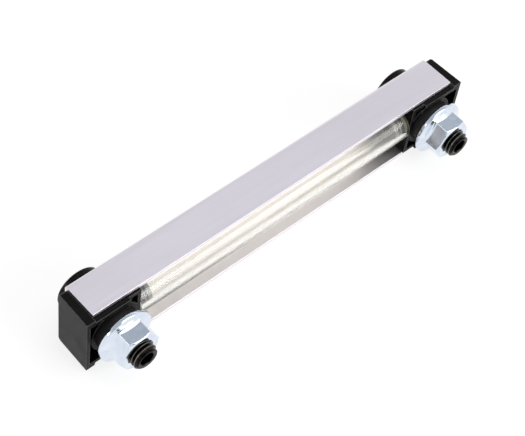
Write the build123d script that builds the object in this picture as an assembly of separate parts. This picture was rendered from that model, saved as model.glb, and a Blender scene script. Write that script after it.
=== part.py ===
from build123d import *
import math
import os

# Fluid level gauge for a hydraulic tank, in millimetres.
# X runs along the gauge, +Y points at the tank, +Z is up as the gauge lies on its side.
# The origin is midway between the two mounting bolts, on the plane of the tank wall.

# Mounting
bolt_spacing = 150.0
thread_diameter = 10.0
stud_reach = 12.5
stud_chamfer = 0.8
seal_stand = 2.8

# Housing, a channel that is open on the tank side
housing_overhang = 9.25
housing_width = 28.0
housing_depth = 14.7
housing_wall = 1.5
housing_inner_radius = 0.4
housing_outer_radius = 1.2
window_inset = 25.0
window_width = 11.0

# End blocks, moulded
block_inner_reach = 10.5
block_lip_reach = 3.85
block_depth = 15.2
block_lip_rise = 0.4
block_lip_clearance = 0.1
block_side_clearance = 0.4
block_lip_radius = 2.0
block_draft_angle = 2.0
rim_wall = 1.4
rib_wall = 1.2
rib_recess = 1.4
pocket_depth = 7.0
boss_diameter = 20.8
boss_wall = 1.6
boss_recess = 0.9
inner_step_length = 5.2
inner_step_depth = 1.2
bolt_clearance = 0.2
chamber_diameter = 12.4
chamber_length = 6.0

# Sight tube and the spigots that it is pushed onto
tube_outer_diameter = 14.0
tube_wall = 2.0
tube_web_clearance = 0.5
spigot_length = 6.4
spigot_clearance = 0.2
spigot_bore = 4.5
ring_offset = 2.3
ring_section = 1.6
ring_groove_width = 1.8

# Hollow bolts
head_diameter = 17.2
head_height = 4.4
head_chamfer = 0.4
socket_across_flats = 8.0
socket_depth = 3.0
bolt_bore = 5.5
cross_hole = 4.5
waist_diameter = 8.6
waist_length = 7.0

# Flange nuts
nut_across_flats = 15.0
nut_height = 9.2
flange_diameter = 21.8
flange_edge = 1.5
flange_slope_angle = 25.0
nut_mouth = 0.5

# Seals
head_seal_outer = 16.0
head_seal_thickness = 0.8
tank_seal_recess = 1.0
seal_bore_clearance = 0.2
seal_recess_clearance = 0.2
turned_chamfer_angle = 30.0

# Places that follow from the sizes above
block_back = -seal_stand
block_front = block_back - block_depth
housing_front = block_front - housing_wall
channel_half_height = housing_width / 2 - housing_wall
block_half_height = channel_half_height - block_side_clearance
lip_half_height = channel_half_height + block_lip_rise
lip_start = housing_overhang + block_lip_clearance
housing_length = bolt_spacing + 2 * housing_overhang
window_length = bolt_spacing - 2 * window_inset
block_outer_reach = housing_overhang + block_lip_reach
block_draft = block_depth * math.tan(math.radians(block_draft_angle))
boss_face = block_back - boss_recess
seal_floor = boss_face - tank_seal_recess
seal_pocket_diameter = boss_diameter - 2 * boss_wall
tank_seal_outer = seal_pocket_diameter - 2 * seal_recess_clearance
tube_axis = block_front + tube_web_clearance + tube_outer_diameter / 2
tube_bore = tube_outer_diameter - 2 * tube_wall
spigot_diameter = tube_bore - spigot_clearance
head_seat = housing_front - head_seal_thickness
bolt_hole = thread_diameter + 2 * bolt_clearance

# The end of the gauge at +X is the lower one
ends = (("upper", -1), ("lower", 1))


def along_y(start, end, diameter, x=0.0, z=0.0):
    """Cylinder along Y between two planes."""
    plane = Plane(origin=(x, start, z), x_dir=(1, 0, 0), z_dir=(0, 1, 0))
    return plane * Cylinder(diameter / 2, end - start, align=(Align.CENTER, Align.CENTER, Align.MIN))


def along_x(start, end, diameter, y=0.0, z=0.0):
    """Cylinder along X between two planes."""
    plane = Plane(origin=(start, y, z), x_dir=(0, 1, 0), z_dir=(1, 0, 0))
    return plane * Cylinder(diameter / 2, end - start, align=(Align.CENTER, Align.CENTER, Align.MIN))


def ring_along_y(start, end, outer, inner):
    """Flat ring whose axis is Y."""
    return along_y(start, end, outer) - along_y(start, end, inner)


def housing_channel():
    """Channel with a rounded sight window and two bolt holes in its web."""
    inner_width = housing_width - 2 * housing_wall
    outside = Rectangle(housing_depth, housing_width, align=(Align.MIN, Align.CENTER))
    outside = fillet(outside.vertices().sort_by(Axis.X)[:2], housing_outer_radius)
    inside = Pos(housing_wall, 0) * Rectangle(housing_depth, inner_width, align=(Align.MIN, Align.CENTER))
    inside = fillet(inside.vertices().sort_by(Axis.X)[:2], housing_inner_radius)
    section = Plane(origin=(-housing_length / 2, housing_front, 0), x_dir=(0, 1, 0), z_dir=(1, 0, 0))
    channel = extrude(section * (outside - inside), housing_length)
    web = Plane(origin=(0, housing_front, 0), x_dir=(1, 0, 0), z_dir=(0, 1, 0))
    window = extrude(web * SlotOverall(window_length, window_width), housing_wall)
    channel -= window
    for _, side in ends:
        channel -= along_y(housing_front, block_front, bolt_hole, side * bolt_spacing / 2)
    return channel


def block_body():
    """Solid outline of an end block, with a drafted end and a rounded lip past the channel."""
    corners = Polyline(
        (-block_inner_reach, block_front),
        (block_outer_reach - block_draft, block_front),
        (block_outer_reach, block_back),
        (-block_inner_reach, block_back),
        close=True,
    )
    outline = make_face(corners)
    body = extrude(outline, block_half_height, both=True)
    front_edges = body.edges().filter_by(Axis.X).group_by(Axis.Y)[0]
    body = chamfer(front_edges, housing_inner_radius)
    past_channel = Pos(lip_start, block_front) * Rectangle(
        block_outer_reach, block_depth, align=(Align.MIN, Align.MIN)
    )
    lip = extrude(outline & past_channel, lip_half_height, both=True)
    rims = lip.edges().filter_by(lambda edge: abs(edge.center().Z) > lip_half_height / 2)
    body += fillet(rims.group_by(Axis.X)[-1], block_lip_radius)
    inner_step = Pos(-block_inner_reach, block_back, 0)
    return body - inner_step * Box(2 * inner_step_length, 2 * inner_step_depth, 2 * housing_width)


def block_pockets():
    """Coring round the boss, open on the tank side, with a sunken rib on each side of the boss."""
    length = block_inner_reach + block_outer_reach
    middle = (block_outer_reach - block_inner_reach) / 2
    height = 2 * (block_half_height - rim_wall)
    outline = Pos(middle, block_back, 0) * Box(length - 2 * rim_wall, 2 * pocket_depth, height)
    boss_end = block_back + pocket_depth
    outline -= along_y(block_back - pocket_depth, boss_end, boss_diameter)
    rib_top = block_back - rib_recess
    rib = Box(length, pocket_depth, rib_wall, align=(Align.CENTER, Align.MAX, Align.CENTER))
    return outline - Pos(middle, rib_top, 0) * rib


def spigot():
    """Stub on the inner face of an end block, grooved for the tube's ring."""
    face = -block_inner_reach
    stub = along_x(face - spigot_length, face, spigot_diameter, tube_axis)
    stub = chamfer(stub.edges().sort_by(Axis.X)[0], spigot_clearance)
    groove_start = face - ring_offset - ring_groove_width / 2
    groove_end = groove_start + ring_groove_width
    floor = tube_bore - 2 * ring_section
    groove = along_x(groove_start, groove_end, tube_bore, tube_axis)
    groove -= along_x(groove_start, groove_end, floor, tube_axis)
    return stub - groove


def end_block():
    """Moulded end block about its bolt axis, with its inner side towards -X."""
    block = block_body() - block_pockets()
    block -= along_y(boss_face, block_back, boss_diameter)
    block -= along_y(seal_floor, boss_face, seal_pocket_diameter)
    block += spigot()
    block -= along_y(block_front, seal_floor, bolt_hole)
    block -= along_y(tube_axis - chamber_length / 2, tube_axis + chamber_length / 2, chamber_diameter)
    return block - along_x(-block_inner_reach - spigot_length, 0, spigot_bore, tube_axis)


def tube_ring():
    """Round-section ring in the spigot's groove, about the bolt axis of its block."""
    centre = (tube_bore - ring_section) / 2
    x = -block_inner_reach - ring_offset
    return Plane(origin=(x, tube_axis, 0), x_dir=(0, 1, 0), z_dir=(1, 0, 0)) * Torus(centre, ring_section / 2)


def sight_tube():
    """Clear tube between the two end blocks."""
    end = bolt_spacing / 2 - block_inner_reach
    return along_x(-end, end, tube_outer_diameter, tube_axis) - along_x(-end, end, tube_bore, tube_axis)


def turned_hexagon(seat, across_flats, height, crown_side):
    """Hexagon along Y from its seat, with its far end chamfered by turning."""
    flat = across_flats / 2
    corner = flat / math.cos(math.pi / 6)
    rise = (corner - flat) * math.tan(math.radians(turned_chamfer_angle))
    base = Plane(origin=(0, seat, 0), x_dir=(1, 0, 0), z_dir=(0, crown_side, 0))
    hexagon = extrude(base * RegularPolygon(flat, 6, major_radius=False), height)
    envelope = Polyline(
        (0, seat),
        (corner, seat),
        (corner, seat + crown_side * (height - rise)),
        (flat, seat + crown_side * height),
        (0, seat + crown_side * height),
        close=True,
    )
    return hexagon & revolve(make_face(envelope), Axis.Y)


def hollow_bolt():
    """Round-headed socket bolt with a waist, a bore from its tip and a cross hole."""
    shank = along_y(head_seat, stud_reach, thread_diameter)
    shank = chamfer(shank.edges().filter_by(GeomType.CIRCLE).sort_by(Axis.Y)[-1], stud_chamfer)
    waist_start = tube_axis - waist_length / 2
    shank -= ring_along_y(waist_start, waist_start + waist_length, 2 * thread_diameter, waist_diameter)
    head_front = head_seat - head_height
    head = along_y(head_front, head_seat, head_diameter)
    head = chamfer(head.edges().filter_by(GeomType.CIRCLE).sort_by(Axis.Y)[0], head_chamfer)
    front = Plane(origin=(0, head_front, 0), x_dir=(1, 0, 0), z_dir=(0, 1, 0))
    head -= extrude(front * RegularPolygon(socket_across_flats / 2, 6, major_radius=False), socket_depth)
    bolt = shank + head
    bolt -= along_y(tube_axis - cross_hole / 2, stud_reach, bolt_bore)
    return bolt - along_x(-thread_diameter, thread_diameter, cross_hole, tube_axis)


def flange_nut():
    """Hexagon nut with a conical flange, its crown chamfered by turning."""
    flat = nut_across_flats / 2
    flange_radius = flange_diameter / 2
    slope_rise = (flange_radius - flat) * math.tan(math.radians(flange_slope_angle))
    skirt = Polyline(
        (0, 0),
        (flange_radius, 0),
        (flange_radius, flange_edge),
        (flat, flange_edge + slope_rise),
        (0, flange_edge + slope_rise),
        close=True,
    )
    flange = revolve(make_face(skirt), Axis.Y)
    rims = flange.edges().filter_by(GeomType.CIRCLE).group_by(SortBy.RADIUS)[-1]
    flange = fillet(rims.sort_by(Axis.Y)[-1], flange_edge / 2)
    nut = turned_hexagon(0, nut_across_flats, nut_height, 1) + flange
    nut -= along_y(0, nut_height, thread_diameter)
    mouth = Plane(origin=(0, nut_height, 0), x_dir=(1, 0, 0), z_dir=(0, -1, 0))
    thread_radius = thread_diameter / 2
    lead = Cone(thread_radius + nut_mouth, thread_radius, nut_mouth, align=(Align.CENTER, Align.CENTER, Align.MIN))
    return nut - mouth * lead


def head_seal():
    """Flat ring between the bolt head and the housing."""
    return ring_along_y(head_seat, housing_front, head_seal_outer, thread_diameter + 2 * seal_bore_clearance)


def tank_seal():
    """Flat ring in the recess of the boss, standing proud of it against the tank."""
    return ring_along_y(seal_floor, 0, tank_seal_outer, thread_diameter + 2 * seal_bore_clearance)


def at_end(shape, side):
    """Place a shape made about its own bolt axis at one end, mirrored at the -X end."""
    turned = shape if side > 0 else mirror(shape, Plane.YZ)
    return Pos(side * bolt_spacing / 2, 0, 0) * turned


end_pieces = {
    "end_block": end_block(),
    "tube_ring": tube_ring(),
    "hollow_bolt": hollow_bolt(),
    "head_seal": head_seal(),
    "tank_seal": tank_seal(),
    "flange_nut": flange_nut(),
}

os.makedirs("parts", exist_ok=True)
export_step(housing_channel(), "parts/housing_channel.step")
export_step(sight_tube(), "parts/sight_tube.step")
for end_name, side in ends:
    for piece_name, piece in end_pieces.items():
        export_step(at_end(piece, side), f"parts/{end_name}_{piece_name}.step")
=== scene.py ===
import math
import bmesh
import bpy
from mathutils import Matrix, Vector


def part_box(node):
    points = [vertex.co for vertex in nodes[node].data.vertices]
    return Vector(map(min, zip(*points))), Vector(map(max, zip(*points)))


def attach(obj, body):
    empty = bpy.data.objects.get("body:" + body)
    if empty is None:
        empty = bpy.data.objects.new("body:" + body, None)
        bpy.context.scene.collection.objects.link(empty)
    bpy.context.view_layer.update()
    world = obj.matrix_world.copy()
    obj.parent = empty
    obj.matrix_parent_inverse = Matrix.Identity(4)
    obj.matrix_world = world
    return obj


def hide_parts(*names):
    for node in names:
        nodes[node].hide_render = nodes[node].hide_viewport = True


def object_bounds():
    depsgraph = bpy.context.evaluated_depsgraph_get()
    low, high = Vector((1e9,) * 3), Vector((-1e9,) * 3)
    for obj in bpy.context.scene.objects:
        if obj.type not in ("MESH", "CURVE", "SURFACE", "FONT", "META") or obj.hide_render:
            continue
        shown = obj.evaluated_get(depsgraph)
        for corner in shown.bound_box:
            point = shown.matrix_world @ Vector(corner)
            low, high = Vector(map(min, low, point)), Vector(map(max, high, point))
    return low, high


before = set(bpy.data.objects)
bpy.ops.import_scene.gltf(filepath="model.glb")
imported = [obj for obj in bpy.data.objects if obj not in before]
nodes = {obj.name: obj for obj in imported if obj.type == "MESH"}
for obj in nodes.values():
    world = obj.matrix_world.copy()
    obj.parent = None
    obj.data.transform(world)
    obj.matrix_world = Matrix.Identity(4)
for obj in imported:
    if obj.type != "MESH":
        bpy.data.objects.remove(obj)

cad_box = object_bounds()

MM = 0.001
TAU = 2.0 * math.pi
ENDS = ("upper", "lower")
SHARP = 32.0  # degrees between two faces whose edge is rounded and shaded as an edge
TURN_STEPS = 96
WHITE = (1.0, 1.0, 1.0, 1.0)

# sizes of the solids that their boxes don't give
CHANNEL_INSIDE = 12.5 * MM
TUBE_WALL = 2.0 * MM
SHANK_R = 4.97 * MM

tube_low, tube_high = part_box("sight_tube")
tube_y = (tube_low.y + tube_high.y) / 2
tube_z = (tube_low.z + tube_high.z) / 2
tube_r = (tube_high.y - tube_low.y) / 2


def rgb(code):
    """Linear colour of a #rrggbb code."""
    parts = [int(code[i:i + 2], 16) / 255.0 for i in (1, 3, 5)]
    return tuple(c / 12.92 if c <= 0.04045 else ((c + 0.055) / 1.055) ** 2.4 for c in parts) + (1.0,)


def add_object(name, data):
    obj = bpy.data.objects.new(name, data)
    bpy.context.scene.collection.objects.link(obj)
    return obj


# ---------------------------------------------------------------- camera
CAMERA_AT = (0.265662, 0.214689, 0.441015)
CAMERA_RIGHT = (-0.74054, 0.66475, 0.09855)
CAMERA_BACK = (0.46298, 0.39837, 0.79180)
CAMERA_LENS = 108.36
CAMERA_SHIFT = (0.006217, 0.006586)


def set_camera():
    """The scene's camera, with its axes made square to each other."""
    back = Vector(CAMERA_BACK).normalized()
    up = back.cross(Vector(CAMERA_RIGHT).normalized()).normalized()
    right = up.cross(back).normalized()
    turn = Matrix((right, up, back)).transposed().to_4x4()
    data = bpy.data.cameras.new("camera")
    data.sensor_fit = "HORIZONTAL"
    data.sensor_width = 36.0
    data.lens = CAMERA_LENS
    data.shift_x, data.shift_y = CAMERA_SHIFT
    data.clip_start = 0.01
    data.clip_end = 50.0
    camera = add_object("camera", data)
    camera.matrix_world = Matrix.Translation(CAMERA_AT) @ turn
    bpy.context.scene.camera = camera


set_camera()


# ---------------------------------------------------------------- materials
class Nodes:
    """Helpers that add nodes to a tree. A value given to them is a constant or another node's socket."""

    def __init__(self, owner):
        owner.use_nodes = True
        self.tree = owner.node_tree
        self.tree.nodes.clear()

    def add(self, kind, **values):
        node = self.tree.nodes.new(kind)
        for key, value in values.items():
            setattr(node, key, value)
        return node

    def feed(self, socket, value):
        """Link the value to the socket, or set the socket to it."""
        if isinstance(value, bpy.types.NodeSocket):
            self.tree.links.new(value, socket)
        else:
            socket.default_value = value

    def maths(self, operation, *values):
        node = self.add("ShaderNodeMath", operation=operation)
        for socket, value in zip(node.inputs, values):
            self.feed(socket, value)
        return node.outputs[0]

    def vector_maths(self, operation, *values):
        """The single number that a vector operation gives."""
        node = self.add("ShaderNodeVectorMath", operation=operation)
        for socket, value in zip(node.inputs, values):
            self.feed(socket, value)
        return node.outputs["Value"]

    def split(self, vector):
        """The X, Y and Z sockets of a vector."""
        node = self.add("ShaderNodeSeparateXYZ")
        self.feed(node.inputs[0], vector)
        return node.outputs

    def ramp(self, fac, stops):
        node = self.add("ShaderNodeValToRGB")
        ends = node.color_ramp.elements
        for i, (at, colour) in enumerate(stops):
            stop = ends[i] if i < 2 else ends.new(at)
            stop.position = at
            stop.color = colour
        self.feed(node.inputs[0], fac)
        return node.outputs[0]

    def span(self, value, to_low, to_high, from_low=0.3, from_high=0.7):
        """The value's range from from_low to from_high, carried over to to_low to to_high."""
        node = self.add("ShaderNodeMapRange")
        node.inputs["From Min"].default_value = from_low
        node.inputs["From Max"].default_value = from_high
        node.inputs["To Min"].default_value = to_low
        node.inputs["To Max"].default_value = to_high
        self.feed(node.inputs[0], value)
        return node.outputs[0]

    def mix(self, fac, a, b):
        """Colour a where fac is 0, and b where it is 1."""
        node = self.add("ShaderNodeMix", data_type="RGBA")
        for index, value in ((0, fac), (6, a), (7, b)):
            self.feed(node.inputs[index], value)
        return node.outputs[2]


class Shade(Nodes):
    """A node material: a Principled shader, with the constants given for its inputs."""

    def __init__(self, name, **constants):
        self.mat = bpy.data.materials.new(name)
        super().__init__(self.mat)
        self.bsdf = self.add("ShaderNodeBsdfPrincipled")
        self.feed(self.add("ShaderNodeOutputMaterial").inputs[0], self.bsdf.outputs[0])
        self.coords = self.add("ShaderNodeTexCoord").outputs["Object"]
        for key, value in constants.items():
            self.bsdf.inputs[key.replace("_", " ")].default_value = value

    def noise(self, scale, detail=4.0, rough=0.55, stretch=(1, 1, 1)):
        place = self.add("ShaderNodeMapping")
        place.inputs["Scale"].default_value = stretch
        self.feed(place.inputs["Vector"], self.coords)
        node = self.add("ShaderNodeTexNoise")
        node.inputs["Scale"].default_value = scale
        node.inputs["Detail"].default_value = detail
        node.inputs["Roughness"].default_value = rough
        self.feed(node.inputs["Vector"], place.outputs[0])
        return node.outputs[0]

    def tint(self, cloud, low, high, at=0.3):
        """A colour between two codes, driven by a noise."""
        return self.ramp(cloud, [(at, rgb(low)), (1.0 - at, rgb(high))])

    def bump(self, layers):
        """Bump from (height, strength, distance) layers, coarse first."""
        last = None
        for height, strength, distance in layers:
            node = self.add("ShaderNodeBump")
            node.inputs["Strength"].default_value = strength
            node.inputs["Distance"].default_value = distance
            self.feed(node.inputs["Height"], height)
            if last is not None:
                self.feed(node.inputs["Normal"], last)
            last = node.outputs[0]
        self.feed(self.bsdf.inputs["Normal"], last)

    def colour(self, value):
        self.feed(self.bsdf.inputs["Base Color"], value)

    def roughness(self, value):
        self.feed(self.bsdf.inputs["Roughness"], value)


def aluminium(inner):
    """Satin plate with a lilac cast, painted a brighter neutral as painted light on the channel's inner
    faces, nearer its middle than inner.
    """
    s = Shade("satin_aluminium", Metallic=1.0)
    grain = s.noise(2600.0, 3.0, 0.6, (0.012, 1.0, 1.0))
    cloud = s.noise(26.0, 3.0, 0.5)
    plate = s.mix(0.35, s.tint(cloud, "#e6dfe6", "#ece5eb"), s.tint(grain, "#dfd8df", "#f0eaf0", at=0.25))
    across = s.maths("ABSOLUTE", s.split(s.coords)["Z"])
    painted_light_inside = s.span(across, 1.0, 0.0, inner - 0.1 * MM, inner + 0.3 * MM)
    # painted light: the channel's inner faces are painted a brighter neutral
    s.colour(s.mix(painted_light_inside, plate, rgb("#f5f3f2")))
    s.roughness(s.span(grain, 0.38, 0.46))
    s.bump([(cloud, 0.02, 0.2 * MM), (grain, 0.03, 0.02 * MM)])
    return s.mat


def black_plastic(spigot_from, groove):
    """Moulded black, with painted highlights along its edges. Nearer the middle than spigot_from, the black
    tube spigots are painted pale, as painted light seen through the tube.

    Each has a dark band 1.6 mm wide at its groove. The ramp runs 10 mm to both sides of it.
    """
    s = Shade("black_plastic", Specular_IOR_Level=0.08)
    spark = s.noise(5200.0, 3.0, 0.6)
    cloud = s.noise(120.0, 4.0, 0.55)
    black = s.tint(cloud, "#0d0c0b", "#141312")
    reach = s.maths("ABSOLUTE", s.split(s.coords)["X"])
    # painted light: pale grey and olive on the black spigots stand in for light seen through the tube; black
    # at the groove
    grey, olive, dark = rgb("#85847d"), rgb("#9b9b7c"), rgb("#0a0a0a")
    painted_spigot_light = s.ramp(s.span(reach, 0.0, 1.0, groove - 10.0 * MM, groove + 10.0 * MM),
                   [(0.0, grey), (1.0, olive), (0.455, grey), (0.46, dark), (0.54, dark), (0.545, olive)])
    body = s.mix(s.maths("LESS_THAN", reach, spigot_from), black, painted_spigot_light)
    # painted highlight: edges are painted lighter grey where the bevelled normal turns away from the face's
    rounded = s.add("ShaderNodeBevel", samples=6)
    rounded.inputs["Radius"].default_value = 0.5 * MM
    flat = s.vector_maths("DOT_PRODUCT", rounded.outputs[0],
                          s.add("ShaderNodeNewGeometry").outputs["Normal"])
    s.colour(s.mix(s.span(flat, 1.0, 0.0, 0.86, 0.985), body, rgb("#747371")))
    s.roughness(s.span(cloud, 0.30, 0.42))
    s.bump([(cloud, 0.12, 0.1 * MM), (spark, 0.10, 0.03 * MM)])
    return s.mat


def clear_tube():
    s = Shade("clear_acrylic", IOR=1.49, Transmission_Weight=0.95)
    haze = s.noise(300.0, 1.0, 0.4, (0.1, 1.0, 1.0))
    s.colour(s.tint(haze, "#fdfbf6", "#fffefa"))
    s.roughness(s.span(haze, 0.04, 0.05))
    return s.mat


def sawn_tube():
    """The tube's cut ends: the same acrylic, frosted."""
    s = Shade("sawn_acrylic", IOR=1.49, Transmission_Weight=0.35)
    cloud = s.noise(900.0, 3.0, 0.6)
    s.colour(s.tint(cloud, "#dcdcca", "#f0f0e4"))
    s.roughness(s.span(cloud, 0.4, 0.6))
    s.bump([(cloud, 0.2, 0.05 * MM)])
    return s.mat


def black_steel(crest):
    """Black oxide, with a painted highlight: lighter from crest to 1.15 times crest from the bolt's axis.

    That is on the thread's crests and the shank, and on a ring of the head's front face.
    """
    s = Shade("black_oxide_steel", Metallic=1.0)
    cloud = s.noise(420.0, 5.0, 0.6)
    fine = s.noise(4200.0, 3.0, 0.6)
    place = s.split(s.coords)
    from_axis = s.add("ShaderNodeCombineXYZ")
    s.feed(from_axis.inputs["X"], place["X"])
    s.feed(from_axis.inputs["Z"], place["Z"])
    radius = s.vector_maths("LENGTH", from_axis.outputs[0])
    below_limit = s.maths("LESS_THAN", radius, crest * 1.15)
    # painted highlight: the crests, the shank and a ring of the head are painted lighter grey
    painted_highlight = s.maths("MULTIPLY", s.span(radius, 0.0, 0.8, crest - 0.16 * MM, crest), below_limit)
    s.colour(s.mix(painted_highlight, s.tint(cloud, "#171514", "#2b2826"), s.tint(fine, "#77746e", "#9a9892")))
    s.roughness(s.span(fine, 0.22, 0.36))
    s.bump([(cloud, 0.12, 0.1 * MM), (fine, 0.10, 0.03 * MM)])
    return s.mat


def zinc():
    s = Shade("bright_zinc", Metallic=1.0)
    cloud = s.noise(260.0, 4.0, 0.55)
    fine = s.noise(3000.0, 3.0, 0.6)
    s.colour(s.tint(cloud, "#d0dbe8", "#e4eaf4"))
    s.roughness(s.span(fine, 0.08, 0.16))
    s.bump([(cloud, 0.08, 0.1 * MM), (fine, 0.05, 0.02 * MM)])
    return s.mat


def nitrile():
    s = Shade("nitrile_seal")
    cloud = s.noise(500.0, 4.0, 0.6)
    s.colour(s.tint(cloud, "#141414", "#1e1d1d"))
    s.roughness(s.span(cloud, 0.5, 0.65))
    s.bump([(cloud, 0.1, 0.05 * MM)])
    return s.mat


ring_low, ring_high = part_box("upper_tube_ring")
m_aluminium = aluminium(CHANNEL_INSIDE)
m_plastic = black_plastic(tube_high.x - 0.1 * MM, abs(ring_low.x + ring_high.x) / 2)
m_tube = clear_tube()
m_sawn = sawn_tube()
m_bolt = black_steel(SHANK_R)
m_zinc = zinc()
m_seal = nitrile()


# ---------------------------------------------------------------- mesh helpers
def arc(along, across, radius, start, end, steps=5):
    """Points of an arc about a centre, angles in degrees."""
    angles = [math.radians(start + (end - start) * i / steps) for i in range(steps + 1)]
    return [(along + radius * math.cos(a), across + radius * math.sin(a)) for a in angles]


def from_bmesh(name, bm):
    """An object with the bmesh's shape. The bmesh is freed."""
    mesh = bpy.data.meshes.new(name)
    bm.to_mesh(mesh)
    bm.free()
    return add_object(name, mesh)


def make(name, verts, faces, merge=0.0):
    """An object from points and faces, with its normals outward and points closer than merge made one."""
    mesh = bpy.data.meshes.new(name)
    mesh.from_pydata(verts, [], faces)
    bm = bmesh.new()
    bm.from_mesh(mesh)
    if merge:
        bmesh.ops.remove_doubles(bm, verts=bm.verts, dist=merge)
        bmesh.ops.dissolve_degenerate(bm, edges=bm.edges, dist=merge / 10)
    bmesh.ops.recalc_face_normals(bm, faces=bm.faces)
    bm.to_mesh(mesh)
    bm.free()
    return add_object(name, mesh)


def loop_faces(columns, rows):
    """Faces over columns of points, closed both round the columns and from the last column to the first."""
    faces = []
    for i in range(columns):
        j = (i + 1) % columns
        for k in range(rows):
            n = (k + 1) % rows
            faces.append((i * rows + k, i * rows + n, j * rows + n, j * rows + k))
    return faces


def lathe_x(name, profile, y, z, steps):
    """A closed ring of (x, radius) points turned about a line along X."""
    verts = []
    for i in range(steps):
        a = TAU * i / steps
        verts += [(x, y + r * math.cos(a), z + r * math.sin(a)) for x, r in profile]
    return make(name, verts, loop_faces(steps, len(profile)))


def turned_y(name, profile, x):
    """A body turned about an axis along Y; profile(turn) gives its (y, radius) points at a part of a turn."""
    columns = [profile(i / TURN_STEPS) for i in range(TURN_STEPS + 1)]
    rows = len(columns[0])
    verts = []
    for i, column in enumerate(columns):
        a = TAU * i / TURN_STEPS
        verts += [(x + radius * math.cos(a), y, -radius * math.sin(a)) for y, radius in column]
    faces = []
    for i in range(TURN_STEPS):
        for k in range(rows - 1):
            a = i * rows + k
            faces.append((a, a + 1, a + 1 + rows, a + rows))
    return make(name, verts, faces, merge=0.001 * MM)


def prism(name, sides, radius, length, matrix):
    """A plain prism along its own Z, used only to cut with."""
    bm = bmesh.new()
    bmesh.ops.create_cone(bm, cap_ends=True, segments=sides, radius1=radius, radius2=radius,
                          depth=length, matrix=matrix)
    return from_bmesh(name, bm)


def cut(obj, cutters):
    """Take the cutters out of obj for good."""
    for cutter in cutters:
        mod = obj.modifiers.new("cut", "BOOLEAN")
        mod.operation = "DIFFERENCE"
        mod.solver = "EXACT"
        mod.object = cutter
    bpy.context.view_layer.update()
    graph = bpy.context.evaluated_depsgraph_get()
    mesh = bpy.data.meshes.new_from_object(obj.evaluated_get(graph))
    obj.modifiers.clear()
    obj.data = mesh
    for cutter in cutters:
        bpy.data.objects.remove(cutter)


def smooth(obj, angle=SHARP):
    """Smooth shading with edges sharper than the angle kept."""
    mesh = obj.data
    for p in mesh.polygons:
        p.use_smooth = True
    bm = bmesh.new()
    bm.from_mesh(mesh)
    limit = math.radians(angle)
    for e in bm.edges:
        e.smooth = not (len(e.link_faces) == 2 and e.calc_face_angle(0.0) > limit)
    bm.to_mesh(mesh)
    bm.free()


def dress(obj, material):
    obj.data.materials.clear()
    obj.data.materials.append(material)


def round_edges(obj, width):
    edge = obj.modifiers.new("edges", "BEVEL")
    edge.width = width
    edge.segments = 3
    edge.limit_method = "ANGLE"
    edge.angle_limit = math.radians(SHARP)
    edge.harden_normals = True
    edge.use_clamp_overlap = True


# ---------------------------------------------------------------- pieces
# how far the edges of the CAD nodes are rounded, after points closer than WELD are made one
CHANNEL_EDGE = 0.12 * MM
BLOCK_EDGE = 0.25 * MM
HEAD_SEAL_EDGE = 0.1 * MM
TANK_SEAL_EDGE = 0.2 * MM
TUBE_RING_EDGE = 0.1 * MM
WELD = 0.004 * MM


def cad_finish(node, material, width):
    """A CAD node with its edges rounded and its material set."""
    obj = nodes[node]
    weld = obj.modifiers.new("weld", "WELD")
    weld.merge_threshold = WELD
    round_edges(obj, width)
    for slot in obj.material_slots:
        slot.material = material


# end caps: the lip of each block carried out to nearly the channel's outline
CAP_HALF = 13.3 * MM
CAP_FRONT = -18.7 * MM
CAP_ROUND = 1.5 * MM
CAP_WALL = 1.1 * MM
CAP_SLOPE = math.tan(math.radians(2.0))
CAP_EDGE = 0.12 * MM
CAP_PAST_TIP = 0.04 * MM
CAP_PAST_BACK = 0.02 * MM
CAP_OFF_CHANNEL = 0.2 * MM


def end_cap(end):
    """A box over the block's end, open towards the block and the tank, with its end wall drafted."""
    block_low, block_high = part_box(end + "_end_block")
    side = 1 if block_high.x > 0 else -1
    tip = max(block_high.x, -block_low.x) + CAP_PAST_TIP
    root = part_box("housing_channel")[1].x + CAP_OFF_CHANNEL
    back = block_high.y + CAP_PAST_BACK
    flat = CAP_HALF - CAP_ROUND
    corner_y = CAP_FRONT + CAP_ROUND
    outline = [(back, -CAP_HALF), (back, CAP_HALF)]
    outline += [(y, z) for z, y in arc(flat, corner_y, CAP_ROUND, 0, -90, 6)]
    outline += [(y, z) for z, y in arc(-flat, corner_y, CAP_ROUND, -90, -180, 6)]
    count = len(outline)
    verts = [(side * root, y, z) for y, z in outline]
    verts += [(side * (tip - (back - y) * CAP_SLOPE), y, z) for y, z in outline]
    faces = [tuple(range(count)), tuple(range(2 * count - 1, count - 1, -1))]
    faces += [(i, (i + 1) % count, count + (i + 1) % count, count + i) for i in range(count)]
    obj = make(end + "_end_cap", verts, faces)
    room_size = (2 * (tip - root - CAP_WALL), 2 * (back - CAP_FRONT - CAP_WALL), 2 * (CAP_HALF - CAP_WALL), 1)
    room = bmesh.new()
    bmesh.ops.create_cube(room, size=1.0,
                          matrix=Matrix.Translation((side * root, back, 0)) @ Matrix.Diagonal(room_size))
    cut(obj, [from_bmesh("room", room)])
    dress(obj, m_plastic)
    round_edges(obj, CAP_EDGE)
    smooth(obj)
    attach(obj, "root")


TUBE_EDGE = 0.4 * MM
TUBE_STEPS = 128
TUBE_SHARP = 35.0
SAWN_DEPTH = 0.9 * TUBE_EDGE


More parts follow.
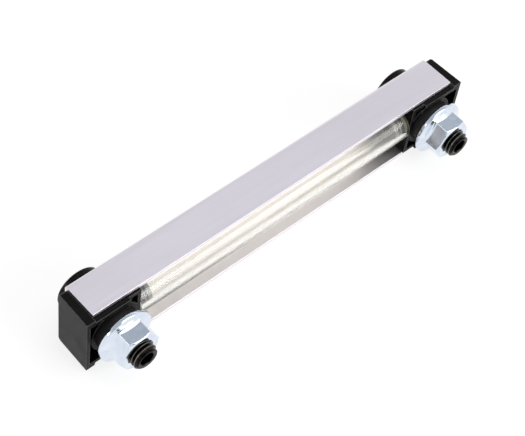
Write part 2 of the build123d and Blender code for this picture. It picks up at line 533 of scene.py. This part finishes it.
def sight_glass():
    """The sight tube with rounded outer edges and sawn ends."""
    bore = tube_r - TUBE_WALL
    edge_r = tube_r - TUBE_EDGE
    profile = arc(tube_low.x + TUBE_EDGE, edge_r, TUBE_EDGE, 180, 90)
    profile += arc(tube_high.x - TUBE_EDGE, edge_r, TUBE_EDGE, 90, 0)
    profile += [(tube_high.x, bore), (tube_low.x, bore)]
    tube = lathe_x("sight_glass", profile, tube_y, tube_z, TUBE_STEPS)
    smooth(tube, TUBE_SHARP)
    dress(tube, m_tube)
    tube.data.materials.append(m_sawn)
    for p in tube.data.polygons:
        p.material_index = int(abs(p.center.x) > tube_high.x - SAWN_DEPTH)
    tube.visible_shadow = False
    tube.visible_diffuse = False
    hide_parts("sight_tube")
    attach(tube, "root")


# a second, flatter dark ring further along each spigot, which shows as a second dark band through the tube
RING_ALONG = 1.9 * MM
RING_WIDE = 1.5 * MM
RING_THICK = 0.22 * MM
RING_CLEARANCE = 0.02 * MM
RING_SHARP = 40.0


def inner_ring(end):
    low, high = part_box(end + "_tube_ring")
    ring_x = (low.x + high.x) / 2
    middle = ring_x - math.copysign(RING_ALONG, ring_x)
    base = tube_r - TUBE_WALL - RING_CLEARANCE - RING_THICK
    half = RING_WIDE / 2
    bead = [(middle - half, base), (middle + half, base)]
    bead += [(middle + half * math.cos(math.radians(a)), base + RING_THICK * math.sin(math.radians(a)))
             for a in range(15, 180, 15)]
    ring = lathe_x(end + "_inner_ring", bead, tube_y, tube_z, TURN_STEPS)
    smooth(ring, RING_SHARP)
    dress(ring, m_seal)
    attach(ring, "root")


# hollow bolts with their threads
THREAD_PITCH = 1.5 * MM
THREAD_DEPTH = 0.92 * MM
THREAD_CREST = 0.19 * MM
THREAD_ROOT = 0.25 * MM
THREAD_START = -5.0 * MM
TIP_R = 4.2 * MM
BORE_R = 2.75 * MM
BORE_MOUTH = 0.25 * MM
WAIST_R = 4.3 * MM
WAIST_FROM = -14.0 * MM
WAIST_TO = -7.0 * MM
HEAD_HEIGHT = 4.4 * MM
HEAD_EDGE = 0.4 * MM
SOCKET_FLATS = 8.0 * MM
SOCKET_DEPTH = 3.0 * MM
CROSS_HOLE_R = 2.25 * MM
CROSS_HOLE_STEPS = 48


def thread_column(turn, start, tip):
    """(y, radius) points of a thread's section at a part of a turn, from its start to the tip."""
    flank = (THREAD_PITCH - THREAD_CREST - THREAD_ROOT) / 2
    root_from = THREAD_CREST + flank
    steps = [(0.0, 0.0), (THREAD_CREST, 0.0), (root_from, 1.0), (root_from + THREAD_ROOT, 1.0)]
    points = []
    for j in range(int((tip - start) / THREAD_PITCH) + 3):
        for along, depth in steps:
            y = start + (j + turn - 1.0) * THREAD_PITCH + along
            y = min(max(y, start), tip)
            points.append((y, min(SHANK_R - depth * THREAD_DEPTH, TIP_R + tip - y)))
    return points


def hollow_bolt(end):
    """The bolt from its bore's floor over the threaded end and the waist to the head, then its two cuts."""
    low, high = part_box(end + "_hollow_bolt")
    x = (low.x + high.x) / 2
    head_r = (high.x - low.x) / 2
    front = low.y
    seat = front + HEAD_HEIGHT
    tip = high.y
    bore_floor = tube_y - CROSS_HOLE_R

    def profile(turn):
        bore = [(bore_floor, 0.0), (bore_floor, BORE_R), (tip - BORE_MOUTH, BORE_R),
                (tip, BORE_R + BORE_MOUTH), (tip, TIP_R)]
        thread = thread_column(turn, THREAD_START, tip)[::-1] + [(THREAD_START, SHANK_R)]
        waist = [(WAIST_TO, SHANK_R), (WAIST_TO, WAIST_R), (WAIST_FROM, WAIST_R), (WAIST_FROM, SHANK_R)]
        head = [(seat, SHANK_R), (seat, head_r), (front + HEAD_EDGE, head_r),
                (front, head_r - HEAD_EDGE), (front, 0.0)]
        return bore + thread + waist + head

    obj = turned_y(end + "_bolt", profile, x)
    along_y = Matrix.Rotation(math.radians(90), 4, "X") @ Matrix.Rotation(math.radians(30), 4, "Z")
    along_x = Matrix.Rotation(math.radians(90), 4, "Y")
    at_head = Matrix.Translation((x, front, 0)) @ along_y
    at_tube = Matrix.Translation((x, tube_y, 0)) @ along_x
    socket_r = SOCKET_FLATS / 2 / math.cos(math.radians(30))
    cut(obj, [prism("socket", 6, socket_r, 2 * SOCKET_DEPTH, at_head),
              prism("cross", CROSS_HOLE_STEPS, CROSS_HOLE_R, 4 * SHANK_R, at_tube)])
    obj.data.transform(Matrix.Translation((-x, 0, 0)))
    obj.location.x = x
    smooth(obj)
    dress(obj, m_bolt)
    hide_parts(end + "_hollow_bolt")
    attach(obj, "root")


# flange nuts: one surface of radius over angle and height, so that the hexagon runs into
# its flange with a fillet and into its crown with a chamfer
NUT_FLATS = 15.0 * MM
NUT_CORNER = 0.14 * MM
NUT_FILLET = 1.3 * MM
NUT_HOLE_R = 5.02 * MM
NUT_MOUTH = 0.5 * MM
FLANGE_EDGE = 1.5 * MM
FLANGE_SLOPE = math.tan(math.radians(25.0))
FLANGE_ROUND = 0.45 * MM
FLANGE_ROUND_AT = FLANGE_EDGE - 0.6 * FLANGE_ROUND
CROWN_R = 7.1 * MM
CROWN_SLOPE = math.tan(math.radians(30.0))
CROWN_EDGE = 0.10 * MM
NUT_SHARP = 28.0
# points of the surface: degrees from a corner, and heights that are close together at the
# fillet and the crown and wide apart between them
FROM_CORNER = (0.0, 0.4, 0.8, 1.2, 1.8, 3.0, 5.5, 9.0, 13.0, 18.0, 24.0)
FILLET_STEP = 0.12 * MM
FILLET_LEVELS = range(3, 26)
FLANK_LEVELS = (4.9 * MM, 5.7 * MM, 6.5 * MM, 7.3 * MM)
CROWN_STEP = 0.09 * MM
CROWN_LEVELS = range(13, -1, -1)


def soft_max(a, b, k):
    """The larger of two values, with the change from one to the other rounded over k."""
    h = max(k - abs(a - b), 0.0) / k
    return max(a, b) + h * h * k / 4


def soft_min(a, b, k):
    return -soft_max(-a, -b, k)


def nut_radius(a, t, flange_r, height):
    """The nut's outside at angle a in degrees and height t over its seat."""
    if t <= FLANGE_EDGE:
        return flange_r
    a = math.radians((a + 30.0) % 60.0 - 30.0)
    sides = [NUT_FLATS / 2 / math.cos(a - math.radians(s)) for s in (-30.0, 30.0)]
    crown = CROWN_R + (height - t) / CROWN_SLOPE
    hexagon = soft_min(soft_min(sides[0], sides[1], NUT_CORNER), crown, CROWN_EDGE)
    return soft_max(hexagon, flange_r - (t - FLANGE_EDGE) / FLANGE_SLOPE, NUT_FILLET)


def flange_nut(end):
    low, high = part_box(end + "_flange_nut")
    height = high.y - low.y
    flange_r = (high.x - low.x) / 2
    angles = []
    for corner in range(0, 360, 60):
        angles += [corner + a for a in FROM_CORNER] + [corner + 30.0]
        angles += [corner + 60.0 - a for a in FROM_CORNER[:0:-1]]
    rim_r = flange_r - FLANGE_ROUND
    bend = math.degrees(math.atan(1 / FLANGE_SLOPE))
    rim = arc(FLANGE_ROUND, rim_r, FLANGE_ROUND, 180, 90)
    rim += arc(FLANGE_ROUND_AT, rim_r, FLANGE_ROUND, 90, 90 - bend)
    levels = [FLANGE_EDGE + FILLET_STEP * i for i in FILLET_LEVELS]
    levels += FLANK_LEVELS
    levels += [height - CROWN_STEP * i for i in CROWN_LEVELS]
    verts = []
    for a in angles:
        column = [(NUT_MOUTH, NUT_HOLE_R), (0.0, NUT_HOLE_R + NUT_MOUTH)] + rim
        column += [(t, nut_radius(a, t, flange_r, height)) for t in levels]
        column += [(height, NUT_HOLE_R + NUT_MOUTH), (height - NUT_MOUTH, NUT_HOLE_R)]
        turn = math.radians(a)
        verts += [(r * math.cos(turn), low.y + t, r * math.sin(turn)) for t, r in column]
    obj = make(end + "_nut", verts, loop_faces(len(angles), len(column)))
    obj.location.x = (low.x + high.x) / 2
    smooth(obj, NUT_SHARP)
    dress(obj, m_zinc)
    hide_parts(end + "_flange_nut")
    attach(obj, "root")


cad_finish("housing_channel", m_aluminium, CHANNEL_EDGE)
for end in ENDS:
    cad_finish(end + "_end_block", m_plastic, BLOCK_EDGE)
    cad_finish(end + "_head_seal", m_seal, HEAD_SEAL_EDGE)
    cad_finish(end + "_tank_seal", m_seal, TANK_SEAL_EDGE)
    cad_finish(end + "_tube_ring", m_seal, TUBE_RING_EDGE)
for end in ENDS:
    end_cap(end)
sight_glass()
for end in ENDS:
    inner_ring(end)
for end in ENDS:
    hollow_bolt(end)
    flange_nut(end)


# ---------------------------------------------------------------- studio
def area(name, at, size, power):
    """A square lamp aimed at the part."""
    data = bpy.data.lights.new(name, "AREA")
    data.shape = "SQUARE"
    data.size = size
    data.energy = power
    obj = add_object(name, data)
    obj.location = at
    obj.rotation_euler = (-Vector(at)).to_track_quat("-Z", "Y").to_euler()


SKY_TOP = (0.50, 0.53, 0.57, 1.0)
SKY_SOFT = (0.5, 0.5, 0.5, 1.0)
FLAG_COLOUR = (0.02, 0.02, 0.04, 1.0)
FLAG_TOWARDS = Vector((0.155, 0.98, 0.124)).normalized()


def studio_world():
    """White to the camera, plain to diffuse light, and darker overhead in what mirrors and clear parts show.

    A dark flag low at one side draws the edges of bright metal. Its edge is given by the cosine
    of the angle from its middle.
    """
    world = bpy.data.worlds.new("studio")
    bpy.context.scene.world = world
    w = Nodes(world)
    rays = w.add("ShaderNodeLightPath").outputs
    towards = w.add("ShaderNodeTexCoord").outputs["Generated"]
    sky = w.ramp(w.split(towards)["Z"], [(0.40, WHITE), (0.78, SKY_TOP)])
    flag = w.span(w.vector_maths("DOT_PRODUCT", towards, FLAG_TOWARDS), 0.0, 1.0, 0.90, 0.93)
    mirrored = w.maths("MAXIMUM", rays["Is Glossy Ray"], rays["Is Transmission Ray"])
    unseen = w.mix(mirrored, SKY_SOFT, w.mix(flag, sky, FLAG_COLOUR))
    background = w.add("ShaderNodeBackground")
    w.feed(background.inputs[0], w.mix(rays["Is Camera Ray"], unseen, WHITE))
    w.feed(w.add("ShaderNodeOutputWorld").inputs[0], background.outputs[0])


FLOOR_HALF = 8.0
FLOOR_GAP = 0.02 * MM
FLOOR_PAINT = (0.3, 0.3, 0.3, 1.0)
FLOOR_GLOW = 0.78


def studio_floor():
    """A plane just under the part: grey paint, which also glows to the rays that see it directly."""
    plane = bmesh.new()
    bmesh.ops.create_grid(plane, x_segments=1, y_segments=1, size=FLOOR_HALF)
    floor = from_bmesh("floor", plane)
    floor.location.z = cad_box[0][2] - FLOOR_GAP
    material = bpy.data.materials.new("floor")
    f = Nodes(material)
    rays = f.add("ShaderNodeLightPath").outputs
    seen = f.maths("MAXIMUM", rays["Is Camera Ray"], rays["Is Glossy Ray"])
    seen = f.maths("MAXIMUM", seen, rays["Is Transmission Ray"])
    paint = f.add("ShaderNodeBsdfDiffuse")
    paint.inputs["Color"].default_value = FLOOR_PAINT
    glow = f.add("ShaderNodeEmission")
    glow.inputs["Color"].default_value = WHITE
    f.feed(glow.inputs["Strength"], f.span(seen, 0.0, FLOOR_GLOW, 0.0, 1.0))
    both = f.add("ShaderNodeAddShader")
    f.feed(both.inputs[0], paint.outputs[0])
    f.feed(both.inputs[1], glow.outputs[0])
    f.feed(f.add("ShaderNodeOutputMaterial").inputs[0], both.outputs[0])
    dress(floor, material)


area("key", at=(-0.30, 0.10, 1.20), size=0.8, power=3.2)
area("fill", at=(-0.45, 1.05, 0.50), size=0.8, power=9.0)
area("rim", at=(1.10, -0.55, 0.62), size=0.25, power=0.8)
studio_world()
studio_floor()

bpy.context.scene.view_settings.view_transform = "Standard"
